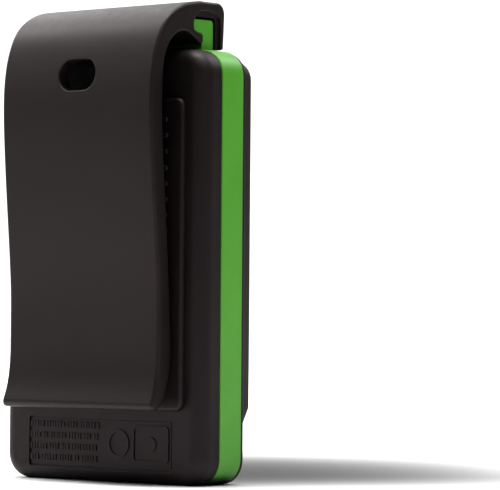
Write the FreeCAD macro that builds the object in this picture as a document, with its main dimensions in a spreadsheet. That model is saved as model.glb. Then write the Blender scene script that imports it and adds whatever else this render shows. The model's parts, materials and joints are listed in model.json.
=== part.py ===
import FreeCAD, Part
import os, math
from FreeCAD import Vector as V, Placement, Rotation

# Avalanche transceiver: a flat electronics case in three layers (front shell,
# coloured middle frame, rear shell) with a sliding battery cover on its back
# and a broad spring clip that hooks over an L-shaped rail on the frame's top.
# Millimetres.  +Z is up the case, -Y faces the user (display side), +Y is the
# back (clip side).  The origin is the centre of the overall box, at the base.

doc = FreeCAD.newDocument("transceiver")
sheet = doc.addObject("Spreadsheet::Sheet", "dims")

DIMS = [
    ("case_width", 69.0, "width of the middle frame"),
    ("case_height", 110.0, "height of the case"),
    ("corner_rad", 6.8, "corner radius of the case outline"),
    ("shell_inset", 0.2, "how far the shells stand inside the frame"),
    ("rear_face", 5.15, "Y of the rear shell's back face"),
    ("band_rear", -2.15, "Y of the frame's rear rim"),
    ("band_front", -10.35, "Y of the frame's front rim"),
    ("base_front", -11.8, "Y of the front shell's base"),
    ("panel_front", -14.95, "Y of the raised front panel"),
    ("rear_fillet", 3.8, "edge radius of the rear shell"),
    ("side_wall", 1.8, "shell side wall"),
    ("rear_wall", 1.6, "rear shell back wall"),
    ("frame_wall", 2.0, "frame side wall"),
    ("plate_rear", -5.15, "Y of the partition's rear side"),
    ("plate_front", -6.15, "Y of the partition's front side"),
    ("cover_width", 57.8, "battery cover width"),
    ("cover_low", 18.6, "battery cover lower edge"),
    ("cover_high", 97.4, "battery cover upper edge"),
    ("cover_face", 6.7, "Y of the battery cover's outside"),
    ("cover_gap", 0.05, "air under the battery cover"),
    ("cover_travel", 6.0, "slide of the battery cover"),
    ("bay_half", 17.2, "half width of the battery opening"),
    ("bay_low", 32.5, "lower end of the battery opening"),
    ("bay_high", 85.0, "upper end of the battery opening"),
    ("cell_rad", 5.25, "radius of an AAA cell"),
    ("cell_len", 44.5, "length of an AAA cell"),
    ("cell_axis", 0.2, "Y of the cells' axes"),
    ("clip_width", 52.2, "width of the belt clip"),
    ("clip_top", 122.6, "Z of the clip's top"),
    ("slot_wide", 12.6, "length of the clip's oblong hole"),
    ("slot_high", 8.1, "height of the clip's oblong hole"),
    ("slot_level", 103.8, "Z of the oblong hole"),
    ("flex_level", 96.0, "Z of the clip's bending line"),
    ("flex_depth", 13.1, "Y of the clip's bending line"),
    ("flex_rad", 2.3, "radius of the rounded end at the bending line"),
    ("rail_width", 50.8, "length of the rail along X"),
    ("lens_half", 23.8, "half width of the display lens"),
    ("lens_low", 57.2, "lower edge of the lens"),
    ("lens_high", 101.2, "upper edge of the lens"),
    ("key_level", 46.0, "Z of the push buttons"),
    ("key_clear", 0.25, "air round each push button"),
    ("mark_rad", 5.6, "radius of the round middle button"),
    ("side_key_x", 17.0, "X of the two side buttons"),
    ("knob_x", -7.0, "X of the mode knob at rest"),
    ("knob_z", 31.5, "Z of the mode knob"),
    ("speaker_x", 18.5, "X of the speaker"),
    ("speaker_z", 31.0, "Z of the speaker"),
    ("board_rear", -8.1, "Y of the circuit board's rear side"),
    ("board_front", -9.1, "Y of the circuit board's front side"),
    ("rod_rad", 3.2, "radius of the ferrite rods"),
    ("rod_depth", -1.3, "Y of the ferrite rods"),
    ("screw_rad", 0.95, "radius of the screw shanks"),
]
D = {}
for i, (name, value, note) in enumerate(DIMS, start=1):
    sheet.set("A%d" % i, name)
    sheet.set("B%d" % i, str(value))
    sheet.setAlias("B%d" % i, name)
    sheet.set("C%d" % i, note)
    D[name] = value
doc.recompute()


# A number that knows both its value and the sheet expression it comes from.
class N:
    def __init__(self, v, t):
        self.v, self.t = float(v), t

    def __add__(a, b):
        b = num(b)
        return N(a.v + b.v, "(%s + %s)" % (a.t, b.t))

    def __radd__(a, b):
        return num(b) + a

    def __sub__(a, b):
        b = num(b)
        return N(a.v - b.v, "(%s - %s)" % (a.t, b.t))

    def __rsub__(a, b):
        return num(b) - a

    def __mul__(a, b):
        b = num(b)
        return N(a.v * b.v, "(%s * %s)" % (a.t, b.t))

    def __rmul__(a, b):
        return num(b) * a

    def __truediv__(a, b):
        b = num(b)
        return N(a.v / b.v, "(%s / %s)" % (a.t, b.t))

    def __neg__(a):
        return N(-a.v, "(0 - %s)" % a.t)


def num(x):
    return x if isinstance(x, N) else N(x, "(%r)" % float(x) if float(x) < 0 else "%r" % float(x))


def d(name):
    return N(D[name], "dims." + name)


def bind(obj, prop, n):
    n = num(n)
    obj.setExpression(prop, n.t)


PLANES = {"XY": "XY_Plane", "XZ": "XZ_Plane", "YZ": "YZ_Plane"}
counter = [0]


def new_body(label):
    b = doc.addObject("PartDesign::Body", "b_" + label)
    b.Label = label
    return b


def new_sketch(body, plane, off):
    counter[0] += 1
    sk = body.newObject("Sketcher::SketchObject", "sk%03d" % counter[0])
    pl = [f for f in body.Origin.OriginFeatures if f.Role == PLANES[plane]][0]
    sk.AttachmentSupport = [(pl, "")]
    sk.MapMode = "FlatFace"
    off = num(off)
    sk.AttachmentOffset = Placement(V(0, 0, off.v), Rotation())
    sk.setExpression("AttachmentOffset.Base.z", off.t)
    return sk


def datum(sk, kind, args, n):
    # a dimensional constraint whose value follows the sheet; negative
    # distances are set the other way round so that the value stays positive
    import Sketcher
    n = num(n)
    idx = sk.addConstraint(Sketcher.Constraint(kind, *args, n.v))
    sk.setExpression("Constraints[%d]" % idx, n.t)


def rect(sk, x0, y0, x1, y1, r=None):
    # a rectangle, or a rounded one, between two corners
    import Sketcher
    C = Sketcher.Constraint
    x0, y0, x1, y1 = num(x0), num(y0), num(x1), num(y1)
    a, b, c, e = x0.v, y0.v, x1.v, y1.v
    if r is None:
        g = sk.addGeometry([Part.LineSegment(V(a, b, 0), V(c, b, 0)), Part.LineSegment(V(c, b, 0), V(c, e, 0)),
                            Part.LineSegment(V(c, e, 0), V(a, e, 0)), Part.LineSegment(V(a, e, 0), V(a, b, 0))], False)
        for k in range(4):
            sk.addConstraint(C("Coincident", g[k], 2, g[(k + 1) % 4], 1))
        sk.addConstraint([C("Horizontal", g[0]), C("Horizontal", g[2]), C("Vertical", g[1]), C("Vertical", g[3])])
        datum(sk, "DistanceX", (-1, 1, g[0], 1), x0)
        datum(sk, "DistanceY", (-1, 1, g[0], 1), y0)
        datum(sk, "DistanceX", (g[0], 1, g[0], 2), x1 - x0)
        datum(sk, "DistanceY", (g[1], 1, g[1], 2), y1 - y0)
        return
    r = num(r)
    q = r.v
    h = math.pi / 2
    Z = V(0, 0, 1)
    g = sk.addGeometry([
        Part.LineSegment(V(a + q, b, 0), V(c - q, b, 0)),
        Part.ArcOfCircle(Part.Circle(V(c - q, b + q, 0), Z, q), -h, 0),
        Part.LineSegment(V(c, b + q, 0), V(c, e - q, 0)),
        Part.ArcOfCircle(Part.Circle(V(c - q, e - q, 0), Z, q), 0, h),
        Part.LineSegment(V(c - q, e, 0), V(a + q, e, 0)),
        Part.ArcOfCircle(Part.Circle(V(a + q, e - q, 0), Z, q), h, 2 * h),
        Part.LineSegment(V(a, e - q, 0), V(a, b + q, 0)),
        Part.ArcOfCircle(Part.Circle(V(a + q, b + q, 0), Z, q), 2 * h, 3 * h)], False)
    for k in range(8):
        sk.addConstraint(C("Tangent", g[k], 2, g[(k + 1) % 8], 1))
    sk.addConstraint([C("Horizontal", g[0]), C("Horizontal", g[4]), C("Vertical", g[2]), C("Vertical", g[6])])
    sk.addConstraint([C("Equal", g[1], g[3]), C("Equal", g[1], g[5])])
    datum(sk, "Radius", (g[1],), r)
    datum(sk, "DistanceX", (-1, 1, g[6], 1), x0)
    datum(sk, "DistanceY", (-1, 1, g[0], 1), y0)
    datum(sk, "DistanceX", (g[6], 1, g[2], 1), x1 - x0)
    datum(sk, "DistanceY", (g[0], 1, g[4], 1), y1 - y0)


def circle(sk, cx, cy, r):
    cx, cy, r = num(cx), num(cy), num(r)
    g = sk.addGeometry(Part.Circle(V(cx.v, cy.v, 0), V(0, 0, 1), r.v), False)
    datum(sk, "DistanceX", (-1, 1, g, 3), cx)
    datum(sk, "DistanceY", (-1, 1, g, 3), cy)
    datum(sk, "Radius", (g,), r)


def poly(sk, pts):
    # a closed outline of straight runs
    import Sketcher
    n = len(pts)
    g = sk.addGeometry([Part.LineSegment(V(pts[k][0], pts[k][1], 0), V(pts[(k + 1) % n][0], pts[(k + 1) % n][1], 0)) for k in range(n)], False)
    for k in range(n):
        sk.addConstraint(Sketcher.Constraint("Coincident", g[k], 2, g[(k + 1) % n], 1))


def ext(body, plane, lo, hi, draw, cut=False):
    # a pad or a pocket between two levels along the plane's axis
    lo, hi = num(lo), num(hi)
    sk = new_sketch(body, plane, -hi if plane == "XZ" else lo)
    draw(sk)
    counter[0] += 1
    doc.recompute()
    before = body.Shape.Volume if (body.Tip and not body.Shape.isNull()) else 0.0
    f = body.newObject("PartDesign::Pocket" if cut else "PartDesign::Pad", ("cut%03d" if cut else "pad%03d") % counter[0])
    f.Profile = sk
    if cut:
        f.Reversed = True
    f.Length = (hi - lo).v
    f.setExpression("Length", (hi - lo).t)
    sk.Visibility = False
    doc.recompute()
    after = body.Shape.Volume
    if (cut and not after < before - 1e-6) or (not cut and not after > before + 1e-6):
        raise RuntimeError("%s: feature %s changed nothing (%.4f -> %.4f)" % (body.Label, f.Name, before, after))
    return f


def edges(body, test):
    out = []
    for i, e in enumerate(body.Shape.Edges):
        if test(e):
            out.append("Edge%d" % (i + 1))
    return out


def on_y(e, y, tol=1e-3):
    bb = e.BoundBox
    return abs(bb.YMin - y) < tol and abs(bb.YMax - y) < tol


def round_edges(body, radius, test, kind="PartDesign::Fillet"):
    names = edges(body, test)
    if not names:
        raise RuntimeError("%s: no edges to round" % body.Label)
    base = body.Tip
    counter[0] += 1
    f = body.newObject(kind, "rnd%03d" % counter[0])
    f.Base = (base, names)
    radius = num(radius)
    if kind.endswith("Fillet"):
        f.Radius = radius.v
        f.setExpression("Radius", radius.t)
    else:
        f.Size = radius.v
        f.setExpression("Size", radius.t)
    doc.recompute()
    if not f.isValid() or body.Shape.isNull() or not body.Shape.isValid():
        raise RuntimeError("%s: rounding failed" % body.Label)
    return f


NODES = []          # (label, object) pairs written out at the end


def keep(obj, label=None):
    if label:
        obj.Label = label
    NODES.append(obj)
    return obj


def prim(kind, label, place, rot=None, **sizes):
    o = doc.addObject("Part::" + kind, "p_" + label)
    o.Label = label
    for k, v in sizes.items():
        if k == "Polygon":
            o.Polygon = v
            continue
        n = num(v)
        setattr(o, k, n.v)
        o.setExpression(k, n.t)
    p = [num(c) for c in place]
    o.Placement = Placement(V(p[0].v, p[1].v, p[2].v), rot or Rotation())
    for ax, n in zip("xyz", p):
        o.setExpression("Placement.Base." + ax, n.t)
    return o


def box(label, x0, y0, z0, x1, y1, z1):
    x0, y0, z0, x1, y1, z1 = [num(q) for q in (x0, y0, z0, x1, y1, z1)]
    return prim("Box", label, (x0, y0, z0), Length=x1 - x0, Width=y1 - y0, Height=z1 - z0)


ROT_Y = Rotation(V(1, 0, 0), -90)      # a cylinder's axis from +Z to +Y
ROT_X = Rotation(V(0, 1, 0), 90)       # a cylinder's axis from +Z to +X


def cyl_y(label, x, y0, z, r, y1):
    y0, y1 = num(y0), num(y1)
    return prim("Cylinder", label, (x, y0, z), ROT_Y, Radius=r, Height=y1 - y0)


def cyl_z(label, x, y, z0, r, z1):
    z0, z1 = num(z0), num(z1)
    return prim("Cylinder", label, (x, y, z0), None, Radius=r, Height=z1 - z0)


def cyl_x(label, x0, y, z, r, x1):
    x0, x1 = num(x0), num(x1)
    return prim("Cylinder", label, (x0, y, z), ROT_X, Radius=r, Height=x1 - x0)


def fuse(label, parts):
    o = doc.addObject("Part::MultiFuse", "f_" + label)
    o.Shapes = parts
    o.Label = label
    o.Refine = True
    return o


def cut(label, base, tool):
    o = doc.addObject("Part::Cut", "c_" + label)
    o.Base, o.Tool = base, tool
    o.Label = label
    return o


def group(label, parts):
    # separate solids that share one node
    o = doc.addObject("Part::Compound", "g_" + label)
    o.Links = parts
    o.Label = label
    return o


HW = d("case_width") / 2
HH = d("case_height")
REAR_SCREWS = [(-14.0, 24.5), (14.0, 24.5), (-14.0, 91.5), (14.0, 91.5)]
FRONT_SCREWS = [(-28.5, 7.5), (28.5, 7.5), (-28.5, 104.8), (28.5, 104.8)]
BOARD_SCREWS = [(-28.5, 25.0), (28.5, 25.0), (-28.5, 98.5), (28.5, 98.5)]
HOOKS = [(-1, 46.0), (1, 46.0), (-1, 70.0), (1, 70.0)]
RIB_LEVELS = [92.0, 88.0, 83.9, 79.8, 75.8, 71.8, 67.8, 63.9]

# ------------------------------------------------------------- rear shell
ins = d("shell_inset")
b = new_body("rear_shell")
ext(b, "XZ", d("band_rear"), d("rear_face"),
    lambda s: rect(s, -(HW - ins), 0, HW - ins, HH - ins, d("corner_rad") - ins))
round_edges(b, d("rear_fillet"), lambda e: on_y(e, D["rear_face"]))
round_edges(b, 0.35, lambda e: on_y(e, D["band_rear"]), "PartDesign::Chamfer")
inner_y = d("rear_face") - d("rear_wall")
sw = d("side_wall")
ext(b, "XZ", d("band_rear"), inner_y,
    lambda s: rect(s, -(HW - ins - sw), ins + sw, HW - ins - sw, HH - ins - sw, d("corner_rad") - ins - sw), cut=True)
round_edges(b, 2.4, lambda e: on_y(e, inner_y.v))


def boss_rings(s):
    for x, z in REAR_SCREWS:
        circle(s, x, z, 3.1)


ext(b, "XZ", 1.35, inner_y + 0.3, boss_rings)
ext(b, "XZ", inner_y - 0.2, d("rear_face") + 0.2,
    lambda s: rect(s, -d("bay_half"), d("bay_low"), d("bay_half"), d("bay_high"), 1.2), cut=True)


def hook_slots(s):
    # narrow run where the hook's foot stays under the wall, and a wide mouth
    # below it where the foot can lift out
    for sg, z0 in HOOKS:
        pts = [(20.4, z0 - 6.2), (23.9, z0 - 6.2), (23.9, z0 - 0.8), (22.4, z0 - 0.8), (22.4, z0 + 5.2), (20.4, z0 + 5.2)]
        pts = [(sg * x, z) for x, z in pts]
        poly(s, pts if sg > 0 else pts[::-1])


ext(b, "XZ", inner_y - 0.2, d("rear_face") + 0.2, hook_slots, cut=True)


def seal_ring(s, lo, hi):
    rect(s, -(d("bay_half") + hi), d("bay_low") - hi, d("bay_half") + hi, d("bay_high") + hi, 1.2 + hi)
    rect(s, -(d("bay_half") + lo), d("bay_low") - lo, d("bay_half") + lo, d("bay_high") + lo, 1.2 + lo)


ext(b, "XZ", d("rear_face") - 0.6, d("rear_face") + 0.2, lambda s: seal_ring(s, 0.6, 1.7), cut=True)


def screw_heads(s, r):
    for x, z in REAR_SCREWS:
        circle(s, x, z, r)


ext(b, "XZ", d("rear_face") - 1.5, d("rear_face") + 0.2, lambda s: screw_heads(s, 2.15), cut=True)
ext(b, "XZ", 1.0, d("rear_face") - 1.4, lambda s: screw_heads(s, 1.15), cut=True)


def label_frame(s):
    rect(s, -24.9, 3.4, 24.9, 16.4, 0.8)
    rect(s, -24.3, 4.0, 24.3, 15.8, 0.4)


# sunk field for the moulded print, with a deeper line round it
ext(b, "XZ", d("rear_face") - 0.35, d("rear_face") + 0.2, lambda s: rect(s, -24.6, 3.7, 24.6, 16.1, 0.6), cut=True)
ext(b, "XZ", d("rear_face") - 0.6, d("rear_face") + 0.2, label_frame, cut=True)
keep(b)

# ----------------------------------------------------------- middle frame
b = new_body("mid_frame")
ext(b, "XZ", d("band_front"), d("band_rear"), lambda s: rect(s, -HW, 0, HW, HH, d("corner_rad")))
round_edges(b, 0.45, lambda e: on_y(e, D["band_rear"]) or on_y(e, D["band_front"]))
fw = d("frame_wall")
for lo, hi in ((d("plate_rear"), d("band_rear")), (d("band_front"), d("plate_front"))):
    ext(b, "XZ", lo, hi, lambda s: rect(s, -(HW - fw), fw, HW - fw, HH - fw, d("corner_rad") - fw), cut=True)


def rim_groove(s, lo, hi):
    rect(s, -(HW - lo), lo, HW - lo, HH - lo, d("corner_rad") - lo)
    rect(s, -(HW - hi), hi, HW - hi, HH - hi, d("corner_rad") - hi)


ext(b, "XZ", d("band_rear") - 0.6, d("band_rear") + 0.1, lambda s: rim_groove(s, 0.75, 1.5), cut=True)
ext(b, "XZ", d("band_front") - 0.1, d("band_front") + 0.6, lambda s: rim_groove(s, 0.75, 1.5), cut=True)


def rear_bosses(s):
    for x, z in REAR_SCREWS:
        circle(s, x, z, 2.9)


ext(b, "XZ", d("plate_rear") - 0.3, 1.3, rear_bosses)
ext(b, "XZ", -4.9, 1.5, lambda s: screw_heads(s, 1.0), cut=True)


def bay_walls(s):
    rect(s, -17.6, 32.9, 17.6, 34.0)
    rect(s, -17.6, 83.5, 17.6, 84.6)


ext(b, "XZ", d("plate_rear") - 0.3, 3.2, bay_walls)


def plate_holes(s):
    for x, z in FRONT_SCREWS:
        circle(s, x, z, 1.15)
    rect(s, -6.0, 26.0, 6.0, 30.0, 0.8)
    rect(s, 18.8, 46.0, 21.6, 56.0, 0.8)
    rect(s, -22.0, 88.0, -18.5, 94.0, 0.8)


ext(b, "XZ", d("plate_front") - 0.2, d("plate_rear") + 0.2, plate_holes, cut=True)
# L-shaped rail on the top: a leg and a bar that reaches back and droops a little
RAIL = [(-8.6, 109.6), (-4.05, 109.6), (-4.05, 110.15), (-4.3, 110.75), (-4.3, 114.35), (-1.9, 114.85), (-1.35, 115.1),
        (-0.95, 115.75), (-0.85, 116.45), (-0.95, 117.2), (-1.5, 117.8), (-8.0, 117.9), (-8.6, 117.3)]
ext(b, "YZ", -d("rail_width") / 2, d("rail_width") / 2, lambda s: poly(s, RAIL))
# stop at the rail's far end, which the clip's end face meets
STOP = [(-10.0, 109.6), (-3.2, 109.6), (-3.2, 113.9), (-0.2, 113.9), (-0.2, 118.8), (-10.0, 118.8)]
ext(b, "YZ", d("clip_width") / 2 + 0.15, d("clip_width") / 2 + 1.45, lambda s: poly(s, STOP))
ext(b, "YZ", d("rail_width") / 2 - 0.2, d("clip_width") / 2 + 0.3, lambda s: poly(s, RAIL))
keep(b)

# ------------------------------------------------------------ front shell
b = new_body("front_shell")
ext(b, "XZ", d("base_front"), d("band_front"),
    lambda s: rect(s, -(HW - 0.35), 0, HW - 0.35, HH - 0.35, d("corner_rad") - 0.35))
round_edges(b, 0.7, lambda e: on_y(e, D["base_front"]))
s1 = new_sketch(b, "XZ", -(d("base_front") + 0.3))
rect(s1, -33.85, 10.4, 33.85, 109.3, 6.2)
s2 = new_sketch(b, "XZ", -d("panel_front"))
rect(s2, -33.35, 16.7, 33.35, 107.0, 4.5)
doc.recompute()
loft = b.newObject("PartDesign::AdditiveLoft", "raised_panel")
loft.Profile = s1
loft.Sections = [s2]
loft.Ruled = True
doc.recompute()
round_edges(b, 1.0, lambda e: on_y(e, D["panel_front"]))
ceil_y = d("panel_front") + 1.7
ext(b, "XZ", ceil_y, d("band_front") + 0.1, lambda s: rect(s, -31.0, 22.6, 31.0, 101.9, 3.5), cut=True)
ext(b, "XZ", d("panel_front") - 0.2, d("panel_front") + 1.0,
    lambda s: rect(s, -(d("lens_half") + 0.15), d("lens_low") - 0.15, d("lens_half") + 0.15, d("lens_high") + 0.15, 2.6), cut=True)
ext(b, "XZ", d("panel_front") + 0.9, ceil_y + 0.1,
    lambda s: rect(s, -(d("lens_half") - 2.2), d("lens_low") + 2.2, d("lens_half") - 2.2, d("lens_high") - 2.2, 1.0), cut=True)


def key_holes(s):
    kx, kz, c = d("side_key_x"), d("key_level"), d("key_clear")
    circle(s, 0, kz, d("mark_rad") + c)
    for sg in (-1, 1):
        rect(s, kx * sg - 6.0 - c, kz - 3.6 - c, kx * sg + 6.0 + c, kz + 3.6 + c, 2.4)
    circle(s, 0, 54.4, 1.25)
    sx, sz = d("speaker_x"), d("speaker_z")
    circle(s, sx, sz, 0.85)
    for k in range(6):
        a = k * math.pi / 3
        circle(s, sx + 3.4 * math.cos(a), sz + 3.4 * math.sin(a), 0.85)


ext(b, "XZ", d("panel_front") - 0.1, ceil_y + 0.1, key_holes, cut=True)
# the knob's track and the slot its stem runs in
ext(b, "XZ", d("panel_front") - 0.1, d("panel_front") + 0.8,
    lambda s: rect(s, d("knob_x") - 11.2, d("knob_z") - 3.6, d("knob_x") + 11.2, d("knob_z") + 3.6, 3.5), cut=True)
ext(b, "XZ", d("panel_front") + 0.7, ceil_y + 0.1,
    lambda s: rect(s, d("knob_x") - 7.7, d("knob_z") - 1.3, d("knob_x") + 7.7, d("knob_z") + 1.3), cut=True)


def shell_bosses(s, spots):
    for x, z in spots:
        circle(s, x, z, 2.3)


ext(b, "XZ", ceil_y - 0.3, d("board_front") - 0.05, lambda s: shell_bosses(s, BOARD_SCREWS))
ext(b, "XZ", d("band_front") - 0.3, d("plate_front") - 0.05, lambda s: shell_bosses(s, FRONT_SCREWS))


def pilot(s, spots, r=1.0):
    for x, z in spots:
        circle(s, x, z, r)


ext(b, "XZ", -11.4, d("board_front"), lambda s: pilot(s, BOARD_SCREWS), cut=True)
ext(b, "XZ", -10.3, d("plate_front"), lambda s: pilot(s, FRONT_SCREWS), cut=True)
keep(b)

# --------------------------------------------------------------- belt clip
# Side outline of the spring clip as (Y, Z): a head that wraps the rail, a
# round-topped hollow behind it and a long arm that comes in to a ridge and
# flares out again at its tip.
OUT_ARM = [(-3.4, 122.6), (1.1, 121.95), (4.5, 120.8), (7.0, 119.45), (8.85, 118.15), (10.85, 116.0), (12.1, 113.8),
           (13.05, 111.5), (13.75, 109.35), (14.35, 106.9), (14.88, 103.4), (15.17, 100.0), (15.25, 96.3), (15.15, 92.0),
           (14.85, 86.5), (14.45, 80.5), (13.9, 73.5), (13.3, 66.5), (12.7, 59.5), (12.2, 53.0), (11.87, 46.5), (11.77, 40.5),
           (11.85, 34.6), (12.2, 28.6), (12.75, 25.4), (13.5, 22.6), (14.25, 20.9)]
TIP = [(14.45, 20.2), (14.3, 19.4), (13.7, 18.85), (12.6, 18.8), (11.6, 19.15), (10.95, 19.9)]
IN_ARM = [(10.3, 20.9), (9.35, 22.7), (8.35, 25.5), (7.5, 28.4), (7.08, 31.3), (7.0, 34.0), (7.2, 37.2), (7.5, 40.8), (7.72, 46.6),
          (8.1, 52.6), (8.5, 58.6), (8.95, 64.6), (9.45, 70.6), (9.95, 76.6), (10.4, 82.6), (10.8, 88.6), (10.98, 94.6),
          (11.0, 100.0), (10.85, 104.0), (10.4, 107.4), (9.35, 110.1), (8.05, 112.0), (6.05, 113.7), (4.25, 114.6), (2.6, 114.8),
          (1.15, 114.4), (-0.25, 113.35), (-1.6, 112.45), (-3.2, 111.75)]
HOOK_SIDE = [(-3.95, 111.85), (-4.1, 112.4), (-4.1, 113.9), (-2.0, 114.6), (-1.15, 114.9), (-0.7, 115.4), (-0.6, 116.4), (-0.7, 117.3),
             (-1.4, 118.4), (-2.2, 118.6), (-8.6, 118.6), (-9.3, 118.3), (-9.6, 117.6), (-9.6, 110.9), (-9.85, 110.55)]
LIP = [(-11.75, 110.5), (-12.2, 110.95), (-12.45, 114.0), (-12.65, 118.8), (-12.7, 119.8), (-12.55, 120.8), (-12.1, 121.65),
       (-11.4, 122.3), (-10.5, 122.6)]


def clip_side(s):
    # splines through the outer and inner runs, closed by straight runs
    def spl(pts):
        c = Part.BSplineCurve()
        c.interpolate([V(y, z, 0) for y, z in pts])
        return c
    geo = [spl(OUT_ARM), spl([OUT_ARM[-1]] + TIP + [IN_ARM[0]]), spl(IN_ARM)]
    run = [IN_ARM[-1]] + HOOK_SIDE + LIP + [OUT_ARM[0]]
    for p, q in zip(run, run[1:]):
        geo.append(Part.LineSegment(V(p[0], p[1], 0), V(q[0], q[1], 0)))
    s.addGeometry(geo, False)


whole = new_body("clip_blank")
ext(whole, "YZ", -d("clip_width") / 2, d("clip_width") / 2, clip_side)
ext(whole, "XZ", 9.0, 17.0,
    lambda s: rect(s, -d("slot_wide") / 2, d("slot_level") - d("slot_high") / 2, d("slot_wide") / 2,
                   d("slot_level") + d("slot_high") / 2, d("slot_high") / 2 - 0.01), cut=True)
# shallow step round the rail's slot in the end face that is slid on first
STEP = [(-1.37, 118.9), (-3.29, 120.1), (-6.4, 120.25), (-9.4, 119.65), (-10.8, 118.3), (-10.95, 110.2), (-9.3, 110.2), (-9.3, 118.2), (-1.37, 118.3)]
ext(whole, "YZ", -d("clip_width") / 2 - 0.1, -d("clip_width") / 2 + 0.8, lambda s: poly(s, STEP), cut=True)
hw2 = d("clip_width") / 2 + 5
above = box("above_flex", -hw2, -20, d("flex_level"), hw2, 20, d("clip_top") + 5)
below = box("below_flex", -hw2, -20, 0, hw2, 20, d("flex_level"))
socket = cyl_x("flex_socket", -hw2, d("flex_depth"), d("flex_level"), d("flex_rad") + 0.06, hw2)
barrel = cyl_x("flex_barrel", -hw2, d("flex_depth"), d("flex_level"), d("flex_rad"), hw2)
top_part = doc.addObject("Part::Common", "clip_top_part")
top_part.Base, top_part.Tool = whole, above
keep(cut("clip_head", top_part, socket))
low_zone = fuse("low_zone", [below, barrel])
arm = doc.addObject("Part::Common", "c_clip_arm")
arm.Base, arm.Tool = whole, low_zone
keep(arm, "clip_arm")

# ----------------------------------------------------------- battery cover
b = new_body("battery_cover")
cw = d("cover_width") / 2
under = d("rear_face") + d("cover_gap")
ext(b, "XZ", under, d("cover_face"), lambda s: rect(s, -cw, d("cover_low"), cw, d("cover_high"), 2.6))
round_edges(b, 0.9, lambda e: on_y(e, D["cover_face"]))
ext(b, "XZ", under - 0.1, under + 0.35,
    lambda s: rect(s, -d("bay_half"), d("bay_low") + 0.8, d("bay_half"), d("bay_high") + d("cover_travel"), 1.0), cut=True)


def ribs(s):
    for z in RIB_LEVELS:
        rect(s, -24.1, z - 0.6, 24.1, z + 0.6, 0.59)


ext(b, "XZ", d("cover_face") - 0.2, d("cover_face") + 0.6, ribs)
round_edges(b, 0.4, lambda e: on_y(e, D["cover_face"] + 0.6))


def hook_stems(s):
    for sg, z0 in HOOKS:
        rect(s, min(sg * 20.6, sg * 22.2), z0, max(sg * 20.6, sg * 22.2), z0 + 5.0)


def hook_feet(s):
    for sg, z0 in HOOKS:
        rect(s, min(sg * 20.6, sg * 23.7), z0, max(sg * 20.6, sg * 23.7), z0 + 5.0)


ext(b, "XZ", inner_y - 0.4, under + 0.2, hook_stems)
ext(b, "XZ", inner_y - 0.8, inner_y - 0.1, hook_feet)
keep(b)

# ----------------------------------------------------------- rings and seals
b = new_body("battery_seal")
ext(b, "XZ", d("rear_face") - 0.6, d("rear_face"), lambda s: seal_ring(s, 0.65, 1.65))
keep(b)
b = new_body("case_seal_rear")
ext(b, "XZ", d("band_rear") - 0.6, d("band_rear"), lambda s: rim_groove(s, 0.8, 1.45))
keep(b)
b = new_body("case_seal_front")
ext(b, "XZ", d("band_front"), d("band_front") + 0.6, lambda s: rim_groove(s, 0.8, 1.45))
keep(b)


# ------------------------------------------------------------------ screws
def screw(label, x, z, head_y0, head_y1, head_r, tip_y):
    head = cyl_y(label + "_head", x, head_y0, z, head_r, head_y1)
    shank = cyl_y(label + "_shank", x, tip_y, z, d("screw_rad"), head_y0 + 0.2)
    drive = prim("Prism", label + "_drive", (x, head_y1 - 0.6, z), ROT_Y, Polygon=6, Circumradius=0.95, Height=0.8)
    return cut(label, fuse(label + "_blank", [head, shank]), drive)


keep(group("rear_screws", [screw("rs%d" % i, x, z, d("rear_face") - 1.5, d("rear_face") - 0.15, 1.9, -4.4)
                           for i, (x, z) in enumerate(REAR_SCREWS)]))
keep(group("front_screws", [screw("fs%d" % i, x, z, d("plate_rear"), d("plate_rear") + 1.1, 1.8, -10.0)
                            for i, (x, z) in enumerate(FRONT_SCREWS)]))
keep(group("board_screws", [screw("bs%d" % i, x, z, d("board_rear"), d("board_rear") + 1.0, 1.8, -11.0)
                            for i, (x, z) in enumerate(BOARD_SCREWS)]))

# ----------------------------------------------------------------- display
b = new_body("display_lens")
ext(b, "XZ", d("panel_front") + 0.05, d("panel_front") + 0.8,
    lambda s: rect(s, -d("lens_half"), d("lens_low"), d("lens_half"), d("lens_high"), 2.4))
round_edges(b, 0.2, lambda e: on_y(e, D["panel_front"] + 0.05))
keep(b)
b = new_body("lens_gasket")


def gasket(s):
    rect(s, -(d("lens_half") - 0.1), d("lens_low") + 0.1, d("lens_half") - 0.1, d("lens_high") - 0.1, 2.3)
    rect(s, -(d("lens_half") - 1.9), d("lens_low") + 1.9, d("lens_half") - 1.9, d("lens_high") - 1.9, 1.3)


ext(b, "XZ", d("panel_front") + 0.8, d("panel_front") + 1.0, gasket)
keep(b)
b = new_body("display_module")
ext(b, "XZ", ceil_y + 0.1, ceil_y + 1.3, lambda s: rect(s, -23.4, 58.2, 23.4, 100.6, 0.6))
ext(b, "XZ", ceil_y + 1.2, ceil_y + 2.9, lambda s: rect(s, -24.4, 57.6, 24.4, 101.0, 0.8))
keep(b)
keep(group("display_ribbon", [box("ribbon_run", -7.0, -10.3, 56.3, 7.0, -10.15, 57.5),
                              box("ribbon_plug", -8.0, d("board_front") - 1.0, 55.6, 8.0, d("board_front"), 58.6)]))

# ------------------------------------------------------------ circuit board
b = new_body("main_board")


def board(s):
    rect(s, -31.2, 12.2, 31.2, 101.6, 2.0)
    for x, z in BOARD_SCREWS:
        circle(s, x, z, 1.1)


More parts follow.
